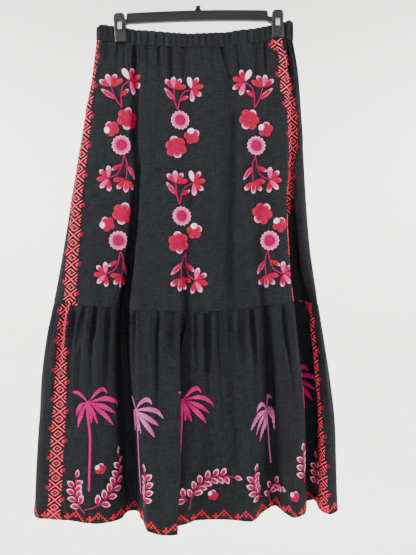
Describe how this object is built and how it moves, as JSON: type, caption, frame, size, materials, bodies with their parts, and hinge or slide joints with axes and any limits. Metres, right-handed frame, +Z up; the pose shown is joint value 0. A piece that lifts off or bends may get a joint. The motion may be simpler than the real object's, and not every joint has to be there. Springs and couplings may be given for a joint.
{
  "type": "embroidered skirt on a clip hanger",
  "caption": "Long black elastic-waist skirt with a gathered lower tier and pink floral and palm embroidery, hung flat by its waistband from a clip hanger.",
  "frame": {"origin": "inner top of the hanger's hook, where the rail carries it", "axes": "+Z up, -Y out of the skirt's embroidered front, +X to the right of someone facing the front"},
  "size_m": [0.621, 0.143, 1.1046],
  "materials": {
    "linen": "matt black woven linen, softly slubbed",
    "casing": "matt black linen gathered over elastic",
    "thread_red": "satin-stitched red thread with a soft sheen",
    "thread_pink": "satin-stitched pink thread with a soft sheen",
    "thread_pale": "satin-stitched pale pink thread with a soft sheen",
    "thread_coral": "cross-stitched coral thread",
    "bar_plastic": "black moulded polystyrene, satin",
    "clip_plastic": "dark grey moulded plastic, fine texture",
    "wire": "bright steel wire",
    "spring": "bright spring steel strip"
  },
  "bodies": {
    "root": {"waistband_front": "casing", "waistband_back": "casing", "upper_front": "linen", "upper_back": "linen", "tier_front": "linen", "tier_back": "linen", "hanger_bar": "bar_plastic", "hanger_collar": "bar_plastic", "hanger_hook": "wire", "clip_left_front_jaw": "clip_plastic", "clip_left_back_jaw": "clip_plastic", "clip_left_spring": "spring", "clip_right_front_jaw": "clip_plastic", "clip_right_back_jaw": "clip_plastic", "clip_right_spring": "spring"}
  },
  "joints": []
}
